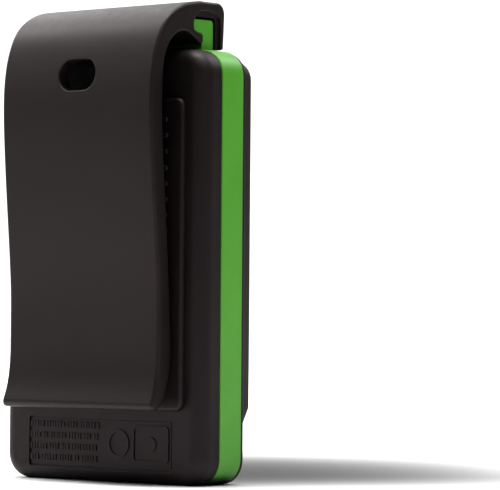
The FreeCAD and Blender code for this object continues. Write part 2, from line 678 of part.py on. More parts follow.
ext(b, "XZ", d("board_front"), d("board_rear"), board)
keep(b)
keep(cut("rf_shield", box("can_out", -24.0, d("board_rear"), 62.0, -3.0, d("board_rear") + 1.6, 82.0),
         box("can_in", -23.7, d("board_rear") - 0.1, 62.3, -3.3, d("board_rear") + 1.35, 81.7)))
keep(group("board_chips", [box("chip_a", 4.0, d("board_rear"), 66.0, 14.0, d("board_rear") + 1.2, 76.0),
                           box("chip_b", 17.0, d("board_rear"), 68.0, 23.0, d("board_rear") + 1.0, 74.0),
                           box("chip_c", -20.0, d("board_rear"), 40.0, -12.0, d("board_rear") + 1.1, 46.0),
                           box("chip_d", 6.0, d("board_rear"), 44.0, 11.0, d("board_rear") + 1.0, 50.0)]))
keep(box("clock_crystal", 4.5, d("board_rear"), 80.0, 13.0, d("board_rear") + 1.5, 83.6))
keep(group("board_connectors", [box("conn_a", -5.0, d("board_rear"), 26.5, 5.0, d("board_rear") + 1.8, 29.5),
                                box("conn_b", 19.0, d("board_rear"), 47.0, 21.4, d("board_rear") + 1.8, 55.0),
                                box("conn_c", -21.6, d("board_rear"), 88.6, -18.8, d("board_rear") + 1.8, 93.4)]))

# ----------------------------------------------------------------- controls
kz, kx = d("key_level"), d("side_key_x")
b = new_body("keypad_membrane")
ext(b, "XZ", d("board_front") - 1.6, d("board_front") - 0.6, lambda s: rect(s, -25.5, 39.5, 25.5, 52.6, 1.5))


def domes(s, r):
    circle(s, 0, kz, r)
    circle(s, kx, kz, r)
    circle(s, -kx, kz, r)


ext(b, "XZ", d("board_front") - 1.95, d("board_front") - 1.5, lambda s: domes(s, 2.6))
ext(b, "XZ", d("board_front") - 0.7, d("board_front"), lambda s: rect(s, -25.5, 39.5, -24.3, 52.6))
ext(b, "XZ", d("board_front") - 0.7, d("board_front"), lambda s: rect(s, 24.3, 39.5, 25.5, 52.6))
keep(b)

b = new_body("mark_button")
ext(b, "XZ", d("panel_front") - 0.3, ceil_y + 0.3, lambda s: circle(s, 0, kz, d("mark_rad")))
round_edges(b, 0.5, lambda e: on_y(e, D["panel_front"] - 0.3))
ext(b, "XZ", ceil_y + 0.1, ceil_y + 0.7, lambda s: circle(s, 0, kz, d("mark_rad") + 1.0))
ext(b, "XZ", ceil_y + 0.6, -11.95, lambda s: circle(s, 0, kz, 2.0))
keep(b)
for name, sg in (("left_button", -1), ("right_button", 1)):
    b = new_body(name)
    ext(b, "XZ", d("panel_front") - 0.3, ceil_y + 0.3,
        lambda s: rect(s, kx * sg - 6.0, kz - 3.6, kx * sg + 6.0, kz + 3.6, 2.2))
    round_edges(b, 0.5, lambda e: on_y(e, D["panel_front"] - 0.3))
    ext(b, "XZ", ceil_y + 0.1, ceil_y + 0.7,
        lambda s: rect(s, kx * sg - 6.8, kz - 4.5, kx * sg + 6.8, kz + 4.5, 1.0))
    ext(b, "XZ", ceil_y + 0.6, -11.95, lambda s: circle(s, kx * sg, kz, 2.0))
    keep(b)

# the mode knob slides along X between three stops
b = new_body("mode_knob")
nx, nz = d("knob_x"), d("knob_z")
ext(b, "XZ", d("panel_front") - 0.3, d("panel_front") + 0.65, lambda s: rect(s, nx - 5.0, nz - 3.3, nx + 5.0, nz + 3.3, 3.0))
round_edges(b, 0.35, lambda e: on_y(e, D["panel_front"] - 0.3))


def grip(s):
    for k in (-2, -1, 0, 1, 2):
        rect(s, nx + 1.3 * k - 0.25, nz - 2.0, nx + 1.3 * k + 0.25, nz + 2.0)


ext(b, "XZ", d("panel_front") - 0.4, d("panel_front") + 0.0, grip, cut=True)
ext(b, "XZ", d("panel_front") + 0.5, ceil_y + 0.4, lambda s: rect(s, nx - 1.6, nz - 1.15, nx + 1.6, nz + 1.15))
ext(b, "XZ", ceil_y + 0.12, ceil_y + 0.7, lambda s: rect(s, nx - 4.0, nz - 2.6, nx + 4.0, nz + 2.6))
ext(b, "XZ", ceil_y + 0.6, -11.5, lambda s: circle(s, nx, nz, 0.6))
keep(b)
b = new_body("slide_switch")
ext(b, "XZ", -12.35, d("board_front"), lambda s: rect(s, nx - 9.0, nz - 2.6, nx + 9.0, nz + 2.6, 0.4))
ext(b, "XZ", -12.5, -11.2, lambda s: rect(s, nx - 7.4, nz - 0.85, nx + 7.4, nz + 0.85), cut=True)
keep(b)

# ------------------------------------------------------------------ signals
spx, spz = d("speaker_x"), d("speaker_z")
keep(fuse("speaker", [cyl_y("spk_cup", spx, -12.9, spz, 7.6, -10.9), cyl_y("spk_magnet", spx, -11.0, spz, 4.4, d("board_front") - 0.05)]))
keep(cyl_y("speaker_mesh", spx, ceil_y + 0.02, spz, 5.6, ceil_y + 0.25))
keep(fuse("light_pipe", [cyl_y("pipe_rod", 0, d("panel_front") + 0.02, 54.4, 1.15, d("board_front") - 1.75),
                         cyl_y("pipe_collar", 0, ceil_y + 0.05, 54.4, 1.7, ceil_y + 0.55)]))
keep(box("status_led", -0.8, d("board_front") - 0.7, 53.7, 0.8, d("board_front"), 55.1))

# ---------------------------------------------------------------- batteries
CELLS = [("battery_cell_left", -11.0, 1), ("battery_cell_middle", 0.0, -1), ("battery_cell_right", 11.0, 1)]
cl = d("cell_len")
plates_low, plates_high, springs = [], [], []
for name, x, up in CELLS:
    b = new_body(name)
    sk = new_sketch(b, "YZ", x)
    z0 = 38.0 if up > 0 else 34.5
    z1 = z0 + D["cell_len"]
    cy, r = D["cell_axis"], D["cell_rad"]
    if up > 0:
        prof = [(0, z0 + 0.3), (2.6, z0 + 0.3), (2.9, z0), (r - 0.5, z0), (r, z0 + 0.6), (r, z1 - 1.5), (r - 0.7, z1 - 0.8), (1.9, z1 - 0.8), (1.9, z1 - 0.15), (1.75, z1), (0, z1)]
    else:
        prof = [(0, z1 - 0.3), (2.6, z1 - 0.3), (2.9, z1), (r - 0.5, z1), (r, z1 - 0.6), (r, z0 + 1.5), (r - 0.7, z0 + 0.8), (1.9, z0 + 0.8), (1.9, z0 + 0.15), (1.75, z0), (0, z0)]
    poly(sk, [(cy + a, z) for a, z in prof])
    axis = sk.addGeometry(Part.LineSegment(V(cy, z0 - 5, 0), V(cy, z1 + 5, 0)), True)
    doc.recompute()
    rev = b.newObject("PartDesign::Revolution", "turn_" + name)
    rev.Profile = sk
    rev.ReferenceAxis = (sk, ["Axis0"])
    rev.Angle = 360
    doc.recompute()
    keep(b)
    # bent leaf spring that presses on the flat end of the cell
    leaf = [(-3.4, 34.42), (-2.6, 34.42), (1.2, 37.35), (2.2, 37.55), (3.2, 37.1), (3.45, 37.35), (2.35, 37.85), (1.0, 37.66), (-3.4, 34.75)]
    lf = new_body("spring_" + name)
    ext(lf, "YZ", x - 2.0, x + 2.0, lambda s: poly(s, [(cy + p, q if up > 0 else 117.02 - q) for p, q in leaf]))
    springs.append(lf)
keep(group("battery_springs", springs))
keep(group("contacts_low", [box("cp1", -15.8, -4.6, 34.02, -6.2, 4.6, 34.4), box("cp2", -4.8, -4.6, 34.02, 15.8, 4.6, 34.4)]))
keep(group("contacts_high", [box("cp3", -15.8, -4.6, 82.62, 4.8, 4.6, 83.0), box("cp4", 6.2, -4.6, 82.62, 15.8, 4.6, 83.0)]))

# ----------------------------------------------------------------- antennas
rr, ry = d("rod_rad"), d("rod_depth")
keep(cyl_z("antenna_rod_long", 27.3, ry, 12.0, rr, 96.0))
keep(cut("antenna_coil_long", cyl_z("cz_out", 27.3, ry, 32.0, rr + 0.5, 76.0), cyl_z("cz_in", 27.3, ry, 31.0, rr + 0.02, 77.0)))
keep(cyl_x("antenna_rod_cross", -24.0, ry, 99.0, rr - 0.2, 20.0))
keep(cut("antenna_coil_cross", cyl_x("cx_out", -15.0, ry, 99.0, rr + 0.3, 11.0), cyl_x("cx_in", -16.0, ry, 99.0, rr - 0.18, 12.0)))
keep(cyl_y("antenna_core_small", -26.5, -4.7, 22.0, 2.6, 1.8))
keep(cut("antenna_coil_small", cyl_y("cy_out", -26.5, -4.9, 22.0, 4.6, 0.8), cyl_y("cy_in", -26.5, -5.0, 22.0, 2.62, 1.0)))


def saddle(label, x0, x1, z0, z1, rod):
    return cut(label, box(label + "_b", x0, d("plate_rear") + 0.01, z0, x1, ry, z1), rod)


keep(group("antenna_saddles", [
    saddle("sd1", 22.9, 31.7, 16.0, 20.0, cyl_z("sd1_r", 27.3, ry, 10, rr + 0.02, 30)),
    saddle("sd2", 22.9, 31.7, 84.0, 88.0, cyl_z("sd2_r", 27.3, ry, 80, rr + 0.02, 92)),
    saddle("sd3", -22.0, -18.0, 95.0, 103.0, cyl_x("sd3_r", -25, ry, 99.0, rr - 0.18, -15)),
    saddle("sd4", 14.0, 18.0, 95.0, 103.0, cyl_x("sd4_r", 10, ry, 99.0, rr - 0.18, 25))]))

# --------------------------------------------------------------- write out
doc.recompute()
bad = []
for o in doc.Objects:
    if any(s in ("Invalid", "Error") for s in o.State):
        bad.append("%s state %s" % (o.Label, o.State))
for o in NODES:
    if o.Shape.isNull() or not o.Shape.isValid():
        bad.append("%s has no valid shape" % o.Label)
    elif o.Shape.Volume <= 0:
        bad.append("%s has volume %.3f" % (o.Label, o.Shape.Volume))
if bad:
    raise RuntimeError("; ".join(bad))
os.makedirs("parts", exist_ok=True)
for o in NODES:
    o.Shape.exportStep(os.path.join("parts", o.Label + ".step"))
    bb = o.Shape.BoundBox
    print("%-20s solids %2d vol %9.2f  X %7.2f %7.2f  Y %7.2f %7.2f  Z %7.2f %7.2f" % (
        o.Label, len(o.Shape.Solids), o.Shape.Volume, bb.XMin, bb.XMax, bb.YMin, bb.YMax, bb.ZMin, bb.ZMax))
print(len(NODES), "nodes")
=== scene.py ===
import bpy
import bmesh
import json
import math
import numpy as np
from mathutils import Matrix, Vector


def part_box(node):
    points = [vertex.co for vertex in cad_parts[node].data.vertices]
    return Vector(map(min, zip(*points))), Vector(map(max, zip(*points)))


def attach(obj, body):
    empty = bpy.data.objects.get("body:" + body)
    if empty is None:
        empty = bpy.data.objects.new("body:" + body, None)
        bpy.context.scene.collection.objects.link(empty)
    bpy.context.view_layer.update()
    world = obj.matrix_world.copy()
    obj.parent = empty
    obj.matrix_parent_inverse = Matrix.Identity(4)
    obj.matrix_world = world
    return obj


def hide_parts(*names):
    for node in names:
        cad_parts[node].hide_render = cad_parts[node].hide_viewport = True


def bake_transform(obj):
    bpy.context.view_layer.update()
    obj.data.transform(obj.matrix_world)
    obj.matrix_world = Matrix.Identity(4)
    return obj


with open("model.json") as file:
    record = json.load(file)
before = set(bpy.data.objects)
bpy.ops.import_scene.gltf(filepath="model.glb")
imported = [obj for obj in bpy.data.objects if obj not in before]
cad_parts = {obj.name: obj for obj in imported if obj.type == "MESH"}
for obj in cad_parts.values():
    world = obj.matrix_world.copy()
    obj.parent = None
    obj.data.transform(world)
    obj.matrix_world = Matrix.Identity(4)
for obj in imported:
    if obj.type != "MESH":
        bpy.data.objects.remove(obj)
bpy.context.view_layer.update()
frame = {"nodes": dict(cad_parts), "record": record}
nodes = frame["nodes"]
MM = 0.001
scene = bpy.context.scene


# ------------------------------------------------------------------ materials
def shader(name):
    m = bpy.data.materials.new(name)
    m.use_nodes = True
    nt = m.node_tree
    nt.nodes.clear()
    out = nt.nodes.new("ShaderNodeOutputMaterial")
    b = nt.nodes.new("ShaderNodeBsdfPrincipled")
    nt.links.new(b.outputs[0], out.inputs[0])
    return m, nt, b


def node(nt, kind, **kw):
    n = nt.nodes.new("ShaderNode" + kind)
    for k, v in kw.items():
        setattr(n, k, v)
    return n


def noise(nt, vec, scale, detail=3.0, rough=0.5):
    n = node(nt, "TexNoise")
    n.inputs["Scale"].default_value = scale
    n.inputs["Detail"].default_value = detail
    n.inputs["Roughness"].default_value = rough
    nt.links.new(vec, n.inputs["Vector"])
    return n.outputs["Fac"]


def ramp(nt, fac, lo, hi, a=0.0, b=1.0):
    n = node(nt, "MapRange")
    n.inputs["From Min"].default_value = lo
    n.inputs["From Max"].default_value = hi
    n.inputs["To Min"].default_value = a
    n.inputs["To Max"].default_value = b
    nt.links.new(fac, n.inputs["Value"])
    return n.outputs["Result"]


def mixc(nt, fac, c1, c2):
    n = node(nt, "Mix", data_type="RGBA")
    nt.links.new(fac, n.inputs[0])
    for sock, c in ((n.inputs[6], c1), (n.inputs[7], c2)):
        if isinstance(c, tuple):
            sock.default_value = (*c, 1.0)
        else:
            nt.links.new(c, sock)
    return n.outputs[2]


def moulded(name, color, rough=0.5, grain=2600.0, grain_depth=0.04, wear=0.10, specular=0.5, mottled=0.10, edge=0.0005, coat=0.0, sheen=0.0, tint=None, painted_crevice_shade=0.0):
    # injection-moulded plastic: eroded-texture grain, faint flow mottling,
    # roughness that varies, handling scuffs and paler rubbed edges; where painted_crevice_shade is set, painted shade
    # darkens the colour in crevices from an ambient-occlusion mask
    m, nt, b = shader(name)
    obj = node(nt, "TexCoord").outputs["Object"]
    fine = noise(nt, obj, grain, 2.0, 0.55)
    mid = noise(nt, obj, grain * 0.32, 3.0, 0.6)
    broad = noise(nt, obj, 55.0, 3.0, 0.5)
    scuff = noise(nt, obj, 420.0, 5.0, 0.75)
    dark = tuple(c * (1 - mottled) for c in color)
    light = tuple(min(1.0, c * (1 + mottled)) for c in color)
    col = mixc(nt, ramp(nt, broad, 0.35, 0.65), dark, light)
    if wear:
        geo = node(nt, "NewGeometry")
        bev = node(nt, "Bevel", samples=4)
        bev.inputs["Radius"].default_value = edge
        dot = node(nt, "VectorMath", operation="DOT_PRODUCT")
        nt.links.new(geo.outputs["Normal"], dot.inputs[0])
        nt.links.new(bev.outputs["Normal"], dot.inputs[1])
        edge_mask = ramp(nt, dot.outputs["Value"], 0.995, 0.80)
        worn = node(nt, "Math", operation="MULTIPLY")
        nt.links.new(edge_mask, worn.inputs[0])
        nt.links.new(ramp(nt, scuff, 0.42, 0.62, 0.25, 1.0), worn.inputs[1])
        amount = node(nt, "Math", operation="MULTIPLY")
        amount.inputs[1].default_value = wear
        nt.links.new(worn.outputs[0], amount.inputs[0])
        pale = tuple(min(1.0, c * 1.9 + 0.035) for c in color)
        col = mixc(nt, amount.outputs[0], col, pale)
    if painted_crevice_shade:
        # painted shade: ambient occlusion darkens the base colour in crevices and contact gaps, down to 0.12 of it
        ao = node(nt, "AmbientOcclusion", samples=6)
        ao.inputs["Distance"].default_value = painted_crevice_shade
        painted_shade = mixc(nt, ramp(nt, ao.outputs["AO"], 0.15, 0.75), tuple(c * 0.12 for c in color), (1.0, 1.0, 1.0))
        mul = node(nt, "Mix", data_type="RGBA", blend_type="MULTIPLY")
        mul.inputs[0].default_value = 1.0
        nt.links.new(col, mul.inputs[6])
        nt.links.new(painted_shade, mul.inputs[7])
        col = mul.outputs[2]
    if tint:
        b.inputs["Specular Tint"].default_value = (*tint, 1.0)
    nt.links.new(col, b.inputs["Base Color"])
    r1 = ramp(nt, scuff, 0.3, 0.7, rough - 0.05, rough + 0.05)
    r2 = node(nt, "Math", operation="ADD")
    nt.links.new(r1, r2.inputs[0])
    nt.links.new(ramp(nt, broad, 0.3, 0.7, -0.025, 0.025), r2.inputs[1])
    nt.links.new(r2.outputs[0], b.inputs["Roughness"])
    h = node(nt, "Math", operation="MULTIPLY_ADD")
    nt.links.new(mid, h.inputs[0])
    h.inputs[1].default_value = 0.8
    nt.links.new(fine, h.inputs[2])
    bump = node(nt, "Bump")
    bump.inputs["Strength"].default_value = 0.55
    bump.inputs["Distance"].default_value = grain_depth * MM
    nt.links.new(h.outputs[0], bump.inputs["Height"])
    nt.links.new(bump.outputs[0], b.inputs["Normal"])
    b.inputs["Specular IOR Level"].default_value = specular
    b.inputs["Coat Weight"].default_value = coat
    b.inputs["Sheen Weight"].default_value = sheen
    return m


def metal(name, color, rough=0.3, brushed=True, scale=900.0):
    m, nt, b = shader(name)
    obj = node(nt, "TexCoord").outputs["Object"]
    mp = node(nt, "Mapping")
    mp.inputs["Scale"].default_value = (1.0, 1.0, 14.0) if brushed else (1.0, 1.0, 1.0)
    nt.links.new(obj, mp.inputs["Vector"])
    f = noise(nt, mp.outputs[0], scale, 4.0, 0.6)
    g = noise(nt, obj, 120.0, 3.0, 0.5)
    nt.links.new(mixc(nt, ramp(nt, g, 0.35, 0.65), tuple(c * 0.82 for c in color), color), b.inputs["Base Color"])
    nt.links.new(ramp(nt, f, 0.3, 0.7, rough - 0.08, rough + 0.12), b.inputs["Roughness"])
    bump = node(nt, "Bump")
    bump.inputs["Strength"].default_value = 0.3
    bump.inputs["Distance"].default_value = 0.01 * MM
    nt.links.new(f, bump.inputs["Height"])
    nt.links.new(bump.outputs[0], b.inputs["Normal"])
    b.inputs["Metallic"].default_value = 1.0
    return m


def clear(name, color, rough=0.05, alpha_trans=1.0):
    m, nt, b = shader(name)
    obj = node(nt, "TexCoord").outputs["Object"]
    f = noise(nt, obj, 260.0, 4.0, 0.6)
    nt.links.new(ramp(nt, f, 0.45, 0.75, rough, rough + 0.07), b.inputs["Roughness"])
    g = noise(nt, obj, 40.0, 2.0, 0.5)
    nt.links.new(mixc(nt, g, tuple(c * 0.94 for c in color), color), b.inputs["Base Color"])
    b.inputs["Transmission Weight"].default_value = alpha_trans
    b.inputs["IOR"].default_value = 1.49
    return m


def wound(name, color, pitch=0.35, axis=2):
    # enamelled copper laid turn by turn, with painted shade darkening the grooves between the turns
    m, nt, b = shader(name)
    tc = node(nt, "TexCoord").outputs["Object"]
    sep = node(nt, "SeparateXYZ")
    nt.links.new(tc, sep.inputs[0])
    mul = node(nt, "Math", operation="MULTIPLY")
    mul.inputs[1].default_value = 2 * math.pi / (pitch * MM)
    nt.links.new(sep.outputs[axis], mul.inputs[0])
    sn = node(nt, "Math", operation="SINE")
    nt.links.new(mul.outputs[0], sn.inputs[0])
    # painted shade: the colour drops to 0.35 of the copper in the troughs between turns
    nt.links.new(mixc(nt, ramp(nt, sn.outputs[0], -1, 0.4), tuple(c * 0.35 for c in color), color), b.inputs["Base Color"])
    f = noise(nt, tc, 300.0, 3.0, 0.5)
    nt.links.new(ramp(nt, f, 0.3, 0.7, 0.25, 0.42), b.inputs["Roughness"])
    bump = node(nt, "Bump")
    bump.inputs["Strength"].default_value = 0.8
    bump.inputs["Distance"].default_value = 0.1 * MM
    nt.links.new(sn.outputs[0], bump.inputs["Height"])
    nt.links.new(bump.outputs[0], b.inputs["Normal"])
    b.inputs["Metallic"].default_value = 0.85
    return m


def circuit(name):
    # green solder mask with paler copper tracks under it
    m, nt, b = shader(name)
    obj = node(nt, "TexCoord").outputs["Object"]
    v = node(nt, "TexVoronoi", feature="DISTANCE_TO_EDGE", distance="MANHATTAN") if False else node(nt, "TexVoronoi")
    v.distance = "MANHATTAN"
    v.inputs["Scale"].default_value = 420.0
    nt.links.new(obj, v.inputs["Vector"])
    col = mixc(nt, ramp(nt, v.outputs["Distance"], 0.35, 0.55), (0.012, 0.11, 0.035), (0.03, 0.2, 0.07))
    nt.links.new(col, b.inputs["Base Color"])
    f = noise(nt, obj, 500.0, 3.0, 0.5)
    nt.links.new(ramp(nt, f, 0.3, 0.7, 0.25, 0.38), b.inputs["Roughness"])
    bump = node(nt, "Bump")
    bump.inputs["Strength"].default_value = 0.3
    bump.inputs["Distance"].default_value = 0.03 * MM
    nt.links.new(v.outputs["Distance"], bump.inputs["Height"])
    nt.links.new(bump.outputs[0], b.inputs["Normal"])
    return m


CHARCOAL = (0.0048, 0.0031, 0.0031)
MATS = {
    "shell_charcoal": moulded("shell_charcoal", CHARCOAL, rough=0.48, specular=0.27, tint=(1.0, 0.82, 0.85), grain=2600, grain_depth=0.05, wear=0.35),
    "clip_charcoal": moulded("clip_charcoal", (0.0076, 0.0052, 0.0048), rough=0.46, specular=0.29, tint=(1.0, 0.83, 0.83), grain=3400, grain_depth=0.022, wear=0.30),
    "frame_green": moulded("frame_green", (0.072, 0.330, 0.017), painted_crevice_shade=0.004, rough=0.42, grain=3000, grain_depth=0.02, wear=0.35, mottled=0.05),
    "seal_rubber": moulded("seal_rubber", (0.012, 0.012, 0.013), rough=0.75, grain=1800, wear=0.0),
    "button_rubber": moulded("button_rubber", (0.035, 0.036, 0.038), rough=0.66, grain=2000, grain_depth=0.03, wear=0.25, sheen=0.15),
    "knob_green": moulded("knob_green", (0.072, 0.330, 0.017), rough=0.42, grain=3000, grain_depth=0.02, wear=0.3, mottled=0.05),
    "window": clear("window", (0.72, 0.76, 0.74), 0.04),
    "display": moulded("display", (0.33, 0.37, 0.31), rough=0.3, grain=5200, grain_depth=0.004, wear=0.0, mottled=0.04),
    "board": circuit("board"),
    "component": moulded("component", (0.012, 0.012, 0.013), rough=0.42, grain=2400, grain_depth=0.015, wear=0.1),
    "shield_metal": metal("shield_metal", (0.72, 0.71, 0.68), 0.34),
    "steel": metal("steel", (0.58, 0.58, 0.57), 0.3),
    "membrane": moulded("membrane", (0.6, 0.6, 0.56), rough=0.5, grain=1500, grain_depth=0.02, wear=0.0, mottled=0.04),
    "ferrite": moulded("ferrite", (0.028, 0.027, 0.029), rough=0.5, grain=3800, grain_depth=0.03, wear=0.2),
    "copper": wound("copper", (0.75, 0.30, 0.12), 0.35, 2),
    "speaker_can": metal("speaker_can", (0.05, 0.05, 0.052), 0.45),
    "cell": metal("cell", (0.50, 0.53, 0.58), 0.28, True, 500.0),
    "light": clear("light", (0.85, 0.9, 0.85), 0.25),
    "ribbon": moulded("ribbon", (0.42, 0.22, 0.04), rough=0.35, grain=1200, grain_depth=0.01, wear=0.0),
}
COPPER_X = wound("copper_cross", (0.75, 0.30, 0.12), 0.35, 0)
COPPER_Y = wound("copper_small", (0.75, 0.30, 0.12), 0.35, 1)
slot_of = {s["node"]: s["material_slot"] for s in frame["record"]["subparts"]}
for name, o in nodes.items():
    mat = MATS[slot_of[name]]
    if name == "antenna_coil_cross":
        mat = COPPER_X
    if name == "antenna_coil_small":
        mat = COPPER_Y
    if not o.material_slots:
        o.data.materials.append(mat)
    for s in o.material_slots:
        s.material = mat


# ------------------------------------------------------------------ mesh tools
def mesh_object(name, verts, faces, mat, angle=32.0):
    me = bpy.data.meshes.new(name)
    me.from_pydata([tuple(v) for v in verts], [], faces)
    me.validate()
    o = bpy.data.objects.new(name, me)
    scene.collection.objects.link(o)
    o.data.materials.append(mat)
    finish_mesh(o, angle)
    return o


def finish_mesh(o, angle=32.0):
    bm = bmesh.new()
    bm.from_mesh(o.data)
    bmesh.ops.recalc_face_normals(bm, faces=bm.faces)
    bm.to_mesh(o.data)
    bm.free()
    for p in o.data.polygons:
        p.use_smooth = True
    o.data.set_sharp_from_angle(angle=math.radians(angle))
    o.data.update()
    wn = o.modifiers.new("flat", "WEIGHTED_NORMAL")
    wn.mode = "FACE_AREA"
    wn.weight = 60
    wn.keep_sharp = True
    apply_modifiers(o)


def apply_modifiers(o):
    bpy.context.view_layer.update()
    dg = bpy.context.evaluated_depsgraph_get()
    me = bpy.data.meshes.new_from_object(o.evaluated_get(dg), preserve_all_data_layers=True, depsgraph=dg)
    o.modifiers.clear()
    old = o.data
    o.data = me
    bpy.data.meshes.remove(old)


def loft(rings, cap_start=True, cap_end=True):
    n = len(rings[0])
    verts = [p for r in rings for p in r]
    faces = []
    for k in range(len(rings) - 1):
        for i in range(n):
            j = (i + 1) % n
            faces.append((k * n + i, k * n + j, (k + 1) * n + j, (k + 1) * n + i))
    if cap_start:
        faces.append(tuple(range(n))[::-1])
    if cap_end:
        faces.append(tuple((len(rings) - 1) * n + i for i in range(n)))
    return verts, faces


def catmull(pts, step):
    # centripetal spline through the points, resampled evenly and lightly smoothed
    P = np.array(pts, float)
    P = np.vstack([2 * P[0] - P[1], P, 2 * P[-1] - P[-2]])
    out = []
    for i in range(1, len(P) - 2):
        p0, p1, p2, p3 = P[i - 1], P[i], P[i + 1], P[i + 2]
        t0 = 0.0
        t1 = t0 + max(np.linalg.norm(p1 - p0), 1e-9) ** 0.5
        t2 = t1 + max(np.linalg.norm(p2 - p1), 1e-9) ** 0.5
        t3 = t2 + max(np.linalg.norm(p3 - p2), 1e-9) ** 0.5
        for t in np.linspace(t1, t2, 24, endpoint=False):
            a1 = (t1 - t) / (t1 - t0) * p0 + (t - t0) / (t1 - t0) * p1
            a2 = (t2 - t) / (t2 - t1) * p1 + (t - t1) / (t2 - t1) * p2
            a3 = (t3 - t) / (t3 - t2) * p2 + (t - t2) / (t3 - t2) * p3
            b1 = (t2 - t) / (t2 - t0) * a1 + (t - t0) / (t2 - t0) * a2
            b2 = (t3 - t) / (t3 - t1) * a2 + (t - t1) / (t3 - t1) * a3
            out.append((t2 - t) / (t2 - t1) * b1 + (t - t1) / (t2 - t1) * b2)
    out.append(P[-2])
    out = np.array(out)
    s = np.concatenate([[0], np.cumsum(np.linalg.norm(np.diff(out, axis=0), axis=1))])
    n = max(2, int(round(s[-1] / step)) + 1)
    q = np.linspace(0, s[-1], n)
    res = np.stack([np.interp(q, s, out[:, k]) for k in range(2)], 1)
    for _ in range(12):
        res[1:-1] = 0.25 * res[:-2] + 0.5 * res[1:-1] + 0.25 * res[2:]
    return res


# ------------------------------------------------------------------ belt clip
OUT_ARM = [(-3.4, 122.6), (1.1, 121.95), (4.5, 120.8), (7.0, 119.45), (8.85, 118.15), (10.85, 116.0), (12.1, 113.8),
           (13.05, 111.5), (13.75, 109.35), (14.35, 106.9), (14.88, 103.4), (15.17, 100.0), (15.24, 96.3), (15.15, 92.0),
           (14.85, 86.5), (14.45, 80.5), (13.9, 73.5), (13.3, 66.5), (12.7, 59.5), (12.2, 53.0), (11.87, 46.5), (11.77, 40.5),
           (11.85, 34.6), (12.2, 28.6), (12.75, 25.4), (13.5, 22.6), (14.25, 20.9)]
TIP = [(14.45, 20.2), (14.3, 19.4), (13.7, 18.85), (12.6, 18.8), (11.6, 19.15), (10.95, 19.9)]
IN_ARM = [(10.3, 20.9), (9.35, 22.7), (8.35, 25.5), (7.5, 28.4), (7.08, 31.3), (7.0, 34.0), (7.2, 37.2), (7.5, 40.8), (7.72, 46.6),
          (8.1, 52.6), (8.5, 58.6), (8.95, 64.6), (9.45, 70.6), (9.95, 76.6), (10.4, 82.6), (10.8, 88.6), (10.98, 94.6),
          (11.0, 100.0), (10.85, 104.0), (10.4, 107.4), (9.35, 110.1), (8.05, 112.0), (6.05, 113.7), (4.25, 114.6), (2.6, 114.8),
          (1.15, 114.4), (-0.25, 113.35), (-1.6, 112.45), (-3.2, 111.75)]
HOOK_SIDE = [(-3.95, 111.85), (-4.1, 112.4), (-4.1, 113.9), (-2.0, 114.6), (-1.15, 114.9), (-0.7, 115.4), (-0.6, 116.4), (-0.7, 117.3),
             (-1.4, 118.4), (-2.2, 118.6), (-8.6, 118.6), (-9.3, 118.3), (-9.6, 117.6), (-9.6, 110.9), (-9.85, 110.55)]
LIP = [(-11.75, 110.5), (-12.2, 110.95), (-12.45, 114.0), (-12.65, 118.8), (-12.7, 119.8), (-12.55, 120.8), (-12.1, 121.65),
       (-11.4, 122.3), (-10.5, 122.6)]


def line_run(pts, step):
    out = [np.array(pts[0], float)]
    for p, q in zip(pts, pts[1:]):
        p, q = np.array(p, float), np.array(q, float)
        n = max(1, int(round(np.linalg.norm(q - p) / step)))
        for k in range(1, n + 1):
            out.append(p + (q - p) * k / n)
    return np.array(out)


STEP = [(-1.37, 118.9), (-2.2, 119.6), (-3.29, 120.1), (-4.8, 120.28), (-6.4, 120.25), (-8.0, 120.1), (-9.4, 119.65), (-10.3, 119.1),
        (-10.8, 118.3), (-10.95, 117.4), (-10.95, 110.0), (-9.3, 110.0), (-9.3, 118.2), (-1.37, 118.3)]


